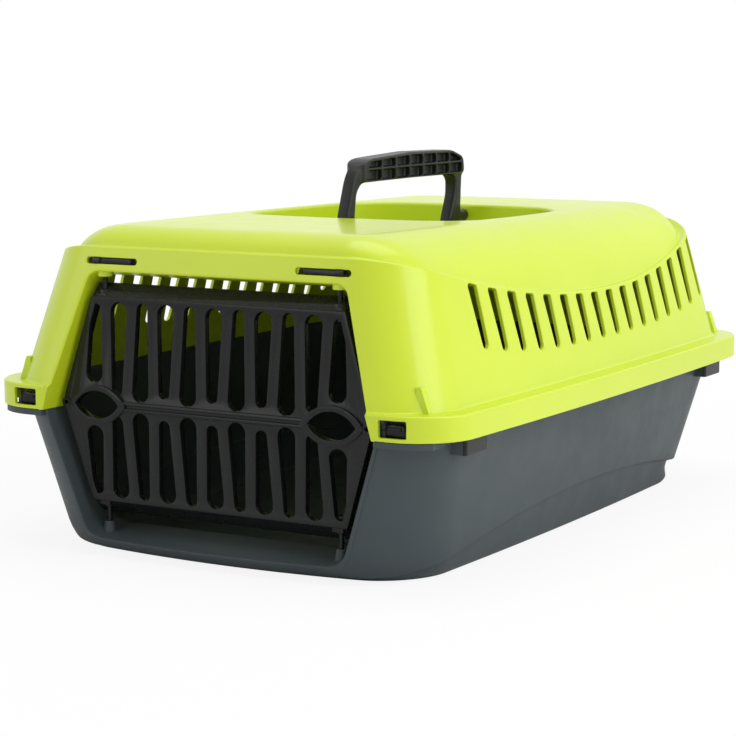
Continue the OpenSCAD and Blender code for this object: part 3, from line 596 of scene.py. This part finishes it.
def finish_shell(o, node):
    """Cleans a shell's mesh, shades it, and lets it stand for its CAD solid."""
    o.name = node + "_look"
    me = o.data
    me.name = o.name
    bm = bmesh.new()
    bm.from_mesh(me)
    bmesh.ops.remove_doubles(bm, verts=bm.verts, dist=2e-5)
    bmesh.ops.dissolve_degenerate(bm, edges=bm.edges, dist=1e-5)
    for f in bm.faces:
        f.smooth = True
    bm.to_mesh(me)
    bm.free()
    me.set_sharp_from_angle(angle=math.radians(32))
    wn = o.modifiers.new("normals", "WEIGHTED_NORMAL")
    wn.keep_sharp = True
    wn.mode = "FACE_AREA_WITH_ANGLE"
    wn.weight = 60
    stands_for(o, node)


# ---------------------------------------------------------------- openings and cutters
def opening_top(g):
    """The opening's outline above the rim, grown by g."""
    h = (ZLIP - ZR) / math.cos(FRONT) + g
    w, e, r = OPEN_W + g, OPEN_END + g, 9 + g
    return filleted([[-w, -WALL], [w, -WALL], [e, h], [-e, h]], [0, 0, r, r])


def opening_tub(g, above):
    """The opening's outline below the rim, grown by g."""
    h = (ZR - ZS) / math.cos(TLEAN) + g
    w, e, r = OPEN_W + g, OPEN_END + g, 14 + g
    return filleted([[w, 0], [w, above], [-w, above], [-w, 0], [-e, -h], [e, -h]],
                    [0, 0, 0, 0, r, r])


F_TOP = Frame((0, -HL, ZR), (1, 0, 0), (0, math.sin(FRONT), math.cos(FRONT)),
              (0, -math.cos(FRONT), math.sin(FRONT)))
F_TUB = Frame((0, TUB_F, ZR), (1, 0, 0), (0, -math.sin(TLEAN), math.cos(TLEAN)),
              (0, -math.cos(TLEAN), -math.sin(TLEAN)))


def prism(poly, fr, low, high):
    """A polygon drawn out along a frame's third axis."""
    p = dense(poly, 6)
    return solid([fr.at(p, low), fr.at(p, high)])


def stick(poly, z0, z1):
    """A polygon drawn up from z0 to z1."""
    return solid([flat(poly, z0), flat(poly, z1)])


def circle(x, y, r):
    """A circle of 48 points."""
    return arc(x, y, r, 0, 352.5, 47)


def rod_x(y, z, x0, x1, r):
    c = circle(y, z, r)
    return solid([np.column_stack([np.full(len(c), x), c]) for x in (x0, x1)])


def rod_y(x, z, y0, y1, r):
    c = circle(x, z, r)
    return solid([np.column_stack([c[:, 0], np.full(len(c), y), c[:, 1]]) for y in (y0, y1)])


def rod_z(x, y, z0, z1, r):
    return stick(circle(x, y, r), z0, z1)


def recess(g):
    """The handle's recess in plan, grown by g."""
    return outline(RECESS_W + g, RECESS[0] - g, RECESS[1] + g, 28 + g, 8, 8, 5)


def vent(y):
    """A vent's outline on the side wall: its top follows the ledge, and its foot an arch."""
    a, b = 3.5, 5.25
    z0 = ZR + 33.5 + 10 * abs((y - VENT_MID) / 165.6) ** 3
    z1, z2 = (float(ledge_z(np.array(y + k * b))) - 2 for k in (1, -1))
    return filleted([[y - a, z0], [y + a, z0], [y + b, z1], [y - b, z2]],
                    [0.9 * a, 0.9 * a, 2, 2], 8)


class BothTree:
    """The nearest hit of two trees."""

    def __init__(self, a, b):
        self.a, self.b = a, b

    def ray_cast(self, o, d):
        x, y = self.a.ray_cast(o, d), self.b.ray_cast(o, d)
        if not x[0]:
            return y
        if not y[0]:
            return x
        return x if x[3] < y[3] else y


# ---------------------------------------------------------------- the top shell
def add_rim(shell):
    """Joins the hollow rim, and gives a search tree of its outside."""
    edge, n = 1.3, 5
    rings = [rim_ring(0.9, ZR), rim_ring(0.3, ZR + 0.25), rim_ring(0, ZR + 0.9)]
    for i in range(n + 1):
        a = math.pi / 2 * i / n
        rings.append(rim_ring(edge * (1 - math.cos(a)), ZR + RH - edge + edge * math.sin(a)))
    rim = solid(rings)
    rim_tree = tree(rim)
    carve(rim, solid([rim_ring(WALL, ZR - 1), rim_ring(WALL, ZR + RH - WALL)]))
    carve(rim, solid([flat(top_ring(z, WALL), z) for z in (ZF - 2, ZF + WALL + 2)]))
    carve(shell, rim, "UNION")
    return rim_tree


def add_cove(shell):
    """Joins a soft fillet where the walls rise from the rim."""
    top, r, n, sunk = ZR + RH, 1.6, 4, 0.02
    rings = [flat(top_ring(top - 0.6, -r), top - 0.6)]
    for i in range(n + 1):
        a = math.pi / 2 * i / n
        z = top - sunk + r * (1 - math.cos(a))
        rings.append(flat(top_ring(z, sunk - r * (1 - math.sin(a))), z))
    cove = solid(rings)
    carve(cove, solid([flat(top_ring(z, 1.2), z) for z in (top - 2, top + 4)]))
    carve(shell, cove, "UNION")


def add_collar(shell, outer):
    """Joins the collar behind the opening, kept within the shell's outside and the rim."""
    collar = prism(opening_top(WALL), F_TOP, -COLLAR, 6)
    hull = carve(twin(outer), box((-HW, -HL, ZR), (HW, -HL + 60, ZR + RH)), "UNION")
    carve(collar, hull, "INTERSECT")
    carve(collar, box((-HW, -HL, ZR), (HW, -HL + 80, ZTOP)), "INTERSECT")
    carve(shell, collar, "UNION")


def add_bowl(shell):
    """Joins the bowl below the recess, with a boss for the handle's pin at each end."""
    low = ZTOP - RECESS_D - WALL
    bowl = stick(recess(WALL), low, low + RECESS_D + WALL / 2 - 0.53 * FALL)
    carve(shell, bowl, "UNION")
    for y0, y1 in ((RECESS[0] - 9.5, RECESS[0]), (RECESS[1], RECESS[1] + 9.5)):
        carve(shell, rod_y(0, PIVOT_Z, y0, y1, 5.5), "UNION")


def add_gussets(shell):
    """Joins the gussets between the walls and the rim, one near each corner."""
    for s in (-1, 1):
        for k in (-1, 1):
            x, y = HW - 22.5, k * (HL - 18)
            fr = Frame((0, y, ZF + 0.5), (s, 0, 0), (0, 0, 1), (0, 1, 0))
            fin = filleted([[x - 8, 0], [x, 0], [x, 2.5], [x - 5, 16.5], [x - 8, 16.5]],
                           [0, 0, 2, 1.2, 0.6], 5)
            carve(shell, prism(fin, fr, -2.5, 2.5), "UNION")


def cut_vents(shell, surface):
    """Cuts the vents through both side walls, with eased mouths."""
    vents = []
    for i in range(VENTS):
        y = VENT_MID + VENT_PITCH * (i - (VENTS - 1) / 2)
        for s in (-1, 1):
            fr = Frame((s * 135, 0, 0), (0, 1, 0), (0, 0, 1), (s, 0, 0))
            vents.append(eased(vent(y), fr, surface, 0.8, -14, 6, from_surface=True))
    carve(shell, join(vents))


def add_guides(shell):
    """Joins the upper door pins' bosses and the rails that the latches slide on."""
    half, back = 20.5, -6.0
    for s in (-1, 1):
        boss = rod_z(s * HINGE_X, HINGE_Y, ZLIP - 3.5, ZLIP + 1.5, BOSS_R)
        carve(shell, boss, "UNION")
        x0, x1 = s * LATCH_X - half, s * LATCH_X + half
        for m in (1, -1):
            for near, face in ((3.8, -1.2), (2.6, -4.7)):
                v0, v1 = sorted((LATCH_V + m * near, LATCH_V + m * 5.0))
                q = np.array([[x0, v0], [x1, v0], [x1, v1], [x0, v1]])
                carve(shell, solid([F_TOP.at(q, back), F_TOP.at(q, face)]), "UNION")


def cut_small(shell, surface, rim_tree):
    """Cuts the pins' holes, the latches' slots and the clips' windows."""
    carve(shell, join([rod_z(s * HINGE_X, HINGE_Y, ZLIP - 4.5, ZLIP + 1.5, PIN_R)
                       for s in (-1, 1)]))
    slots = []
    for s in (-1, 1):
        c, h, r = s * LATCH_X, 16.5, 2
        slot = np.concatenate([arc(c + h, LATCH_V, r, -90, 90, 12),
                               arc(c - h, LATCH_V, r, 90, 270, 12)])
        slots.append(eased(slot, F_TOP, surface, 0.5, -4, 8))
    carve(shell, join(slots))
    windows = []
    for s in (-1, 1):
        for k in (-1, 1):
            fr = Frame((s * CLIP_X, k * HL, ZR + 7.2), (1, 0, 0), (0, 0, 1), (0, k, 0))
            w = filleted([[-8.5, -5], [8.5, -5], [8.5, 5], [-8.5, 5]], [1, 1, 1, 1], 4)
            windows.append(eased(w, fr, rim_tree, 0.6, -8, 6))
    carve(shell, join(windows))
    y0, y1 = RECESS
    carve(shell, join([rod_y(0, PIVOT_Z, y0 - 8.5, y0 + 12, 3),
                       rod_y(0, PIVOT_Z, y1 - 12, y1 + 8.5, 3)]))


def build_top():
    """The top shell, with its rim, opening, vents, recess, slots and windows."""
    outer = solid(top_skin(0, ZF, 1.0))
    surface = tree(outer)
    shell = carve(twin(outer), solid(top_skin(WALL, ZF - 1, 0.01)))
    rim_tree = add_rim(shell)
    add_cove(shell)
    add_collar(shell, outer)
    add_bowl(shell)
    add_gussets(shell)
    both = BothTree(surface, rim_tree)
    carve(shell, eased(opening_top(0), F_TOP, both, 1.2, -60, 60))
    cut_vents(shell, surface)
    level = 180
    fr = Frame((0, 0, level), (1, 0, 0), (0, 1, 0), (0, 0, 1))
    carve(shell, eased(recess(0), fr, surface, 2.0, ZTOP - RECESS_D - level, 12))
    add_guides(shell)
    cut_small(shell, surface, rim_tree)
    bpy.data.objects.remove(outer)
    finish_shell(shell, "top_shell")


# ---------------------------------------------------------------- the tub
def clip_axis(k):
    """How far the clips' axis is from the middle, at the front (k = -1) or rear (k = 1)."""
    return 223.2 if k < 0 else 221.2


def add_flange(shell):
    """Joins the flange that carries the top shell, 3 mm inside the rim's outline."""
    d, edge = 3, 0.8
    carve(shell, solid([rim_ring(d + edge, ZT - WALL), rim_ring(d, ZT - WALL + edge),
                        rim_ring(d, ZT)]), "UNION")


def add_lugs(shell):
    """Joins the four lugs at the sides, hollow from below."""
    reach = 154
    for s in (-1, 1):
        for k in (-1, 1):
            y = k * LUG_Y
            x0, x1 = sorted((s * (TUB_W - 12), s * reach))
            p = filleted([[x0, y - LUG_L], [x1, y - LUG_L], [x1, y + LUG_L], [x0, y + LUG_L]],
                         [0.01, 2, 2, 0.01] if s > 0 else [2, 0.01, 0.01, 2], 6)
            z0 = ZR - GAP - LUG_H
            middle = p.mean(0)
            small = middle + (p - middle) * 0.96
            lug = solid([flat(small, z0), flat(p, z0 + 0.8), flat(p, z0 + LUG_H)])
            x0, x1 = sorted((s * (TUB_W - 13), s * (reach - 1.5)))
            inner = LUG_L - WALL
            carve(lug, box((x0, y - inner, z0 - 2), (x1, y + inner, z0 + 8.2)))
            carve(shell, lug, "UNION")


def hollow(shell, outer):
    """Hollows the tub, and leaves the collar behind the opening."""
    inside = solid(tub_skin(WALL, WALL, ZT + 1, 0.4))
    collar = prism(opening_tub(WALL, 1), F_TUB, -COLLAR, 20)
    carve(collar, twin(outer), "INTERSECT")
    carve(collar, box((-HW, -HL, 0), (HW, -HL + 80, ZR - GAP)), "INTERSECT")
    carve(inside, collar)
    carve(shell, inside)


def cut_opening(shell):
    """Joins the thin bead round the opening, then cuts the opening and the door's room."""
    bead = prism(opening_tub(2.2, 1), F_TUB, -6, 20)
    carve(bead, solid(tub_skin(-0.7, 0, ZT, 1.0)), "INTERSECT")
    carve(bead, solid(tub_skin(1.2, 1.2, ZT + 1, 1.0)))
    carve(shell, bead, "UNION")
    carve(shell, eased(opening_tub(0, 23), F_TUB, tree(shell), 1.0, -COLLAR - 1, 60))
    w = OPEN_W + 3.1
    carve(shell, box((-w, -HL - 1, ZR - GAP), (w, -HL + 33, ZR + RH + 5)))


def add_seats(shell):
    """Joins the lower door pins' bosses, and each clip's seat with the two ears of its axis."""
    for s in (-1, 1):
        boss = solid([flat(circle(s * HINGE_X, HINGE_Y, r), z)
                      for z, r in ((ZS - 1, BOSS_R), (ZS + 6.6, 3.15), (ZS + 7, 2.8))])
        carve(shell, boss, "UNION")
        for k in (-1, 1):
            x0, x1 = sorted((s * (CLIP_X - 12), s * (CLIP_X + 21)))
            y0, y1 = sorted((k * 207, k * 247))
            seat = solid([rim_ring(1, ZR - 3.8), rim_ring(1, ZR - GAP)])
            carve(seat, box((x0, y0, 0), (x1, y1, 200)), "INTERSECT")
            carve(shell, seat, "UNION")
            y0, y1 = sorted((k * 205, k * (clip_axis(k) + 2.1)))
            for c in (-8.1, 6.3):
                x = s * CLIP_X + c
                carve(shell, box((x, y0, ZR - 1.3), (x + 1.8, y1, ZR + 5.5)), "UNION")


def build_tub():
    """The tub, with its flange, lugs, opening and the seats of the clips and pins."""
    outer = solid(tub_skin(0, 0, ZT, 1.0))
    shell = twin(outer)
    add_flange(shell)
    add_lugs(shell)
    hollow(shell, outer)
    cut_opening(shell)
    for s in (-1, 1):
        for k in (-1, 1):
            x = s * CLIP_X
            y0, y1 = sorted((k * (clip_axis(k) - 2.3), k * (clip_axis(k) + 9.7)))
            carve(shell, box((x - 6.3, y0, ZR), (x + 6.3, y1, ZR + 20)))
    add_seats(shell)
    holes = [rod_z(s * HINGE_X, HINGE_Y, ZS, ZS + 8, PIN_R) for s in (-1, 1)]
    for s in (-1, 1):
        for k in (-1, 1):
            x = s * CLIP_X
            holes.append(rod_x(k * clip_axis(k), ZR + 2.8, x - 10, x + 10, 0.95))
    carve(shell, join(holes))
    bpy.data.objects.remove(outer)
    finish_shell(shell, "base_shell")
    # the lugs' faces get the black plastic as painted shade under the rim
    paint_lug_shade_black(shell.data)


def paint_lug_shade_black(me):
    """Paints the lugs' faces, which stand out from the tub's sides, with the black plastic as
    painted shade under the rim: the lugs are the tub's own anthracite plastic.
    """
    me.materials.append(BLACK)
    for f in me.polygons:
        x, y, z = (abs(v) * 1000 for v in f.center)
        # black here is painted shade under the rim, not a separate black part
        if x > TUB_W + 0.1 and abs(y - LUG_Y) < LUG_L + 0.2 and ZR - 11.5 < z < ZR - 0.4:
            f.material_index = 1


build_top()
build_tub()


# ---------------------------------------------------------------- stage and light
def stage():
    """A white floor that fades to plain white away from the piece, and a white world.

    Only the camera sees the floor's own glow. The world lights at half of what is seen."""
    me = bpy.data.meshes.new("floor")
    s = 6
    me.from_pydata([(-s, -s, 0), (s, -s, 0), (s, s, 0), (-s, s, 0)], [], [(0, 1, 2, 3)])
    floor = bpy.data.objects.new("floor", me)
    coll.objects.link(floor)
    m = bpy.data.materials.new("floor")
    m.use_nodes = True
    t = m.node_tree
    t.nodes.clear()
    out = t.nodes.new("ShaderNodeOutputMaterial")
    mix = t.nodes.new("ShaderNodeMixShader")
    dif = t.nodes.new("ShaderNodeBsdfDiffuse")
    dif.inputs["Color"].default_value = (0.93, 0.93, 0.93, 1)
    em = t.nodes.new("ShaderNodeEmission")
    em.inputs["Strength"].default_value = 1.0
    lp = t.nodes.new("ShaderNodeLightPath")
    geo = t.nodes.new("ShaderNodeNewGeometry")
    far = t.nodes.new("ShaderNodeVectorMath")
    far.operation = "LENGTH"
    t.links.new(geo.outputs["Position"], far.inputs[0])
    fade = t.nodes.new("ShaderNodeMapRange")
    fade.inputs["From Min"].default_value = 0.25
    fade.inputs["From Max"].default_value = 0.75
    fade.inputs["To Min"].default_value = 0.88
    fade.inputs["To Max"].default_value = 1.0
    t.links.new(far.outputs["Value"], fade.inputs["Value"])
    k = t.nodes.new("ShaderNodeMath")
    k.operation = "MULTIPLY"
    t.links.new(fade.outputs["Result"], k.inputs[1])
    t.links.new(lp.outputs["Is Camera Ray"], k.inputs[0])
    t.links.new(k.outputs[0], mix.inputs[0])
    t.links.new(dif.outputs[0], mix.inputs[1])
    t.links.new(em.outputs[0], mix.inputs[2])
    t.links.new(mix.outputs[0], out.inputs[0])
    me.materials.append(m)

    w = bpy.data.worlds.new("world")
    scene.world = w
    w.use_nodes = True
    t = w.node_tree
    t.nodes.clear()
    out = t.nodes.new("ShaderNodeOutputWorld")
    a = t.nodes.new("ShaderNodeBackground")
    a.inputs["Color"].default_value = (1, 1, 1, 1)
    a.inputs["Strength"].default_value = 0.5
    c = t.nodes.new("ShaderNodeBackground")
    c.inputs["Color"].default_value = (1, 1, 1, 1)
    c.inputs["Strength"].default_value = 1.0
    mix = t.nodes.new("ShaderNodeMixShader")
    lp = t.nodes.new("ShaderNodeLightPath")
    seen = t.nodes.new("ShaderNodeMath")
    seen.operation = "MAXIMUM"
    t.links.new(lp.outputs["Is Camera Ray"], seen.inputs[0])
    t.links.new(lp.outputs["Is Glossy Ray"], seen.inputs[1])
    t.links.new(seen.outputs[0], mix.inputs[0])
    t.links.new(a.outputs[0], mix.inputs[1])
    t.links.new(c.outputs[0], mix.inputs[2])
    t.links.new(mix.outputs[0], out.inputs[0])


def lamp(name, place, aim, size, power, size_y=None):
    """A rectangular lamp aimed at a point."""
    d = bpy.data.lights.new(name, "AREA")
    d.shape = "RECTANGLE"
    d.size = size
    d.size_y = size_y or size
    d.energy = power
    o = bpy.data.objects.new(name, d)
    coll.objects.link(o)
    o.location = place
    o.rotation_euler = (Vector(aim) - Vector(place)).to_track_quat("-Z", "Y").to_euler()


stage()
lamp("key", (1.6, -0.25, 1.3), (0, 0, 0.1), 1.3, 16)
lamp("fill", (-1.4, -1.5, 0.9), (0, 0, 0.1), 1.2, 4.5)
lamp("top", (0.0, 0.2, 1.9), (0, 0, 0.1), 1.4, 11.5)
lamp("low", (1.7, 0.3, 0.3), (0, 0, 0.03), 1.3, 4.5, 0.4)
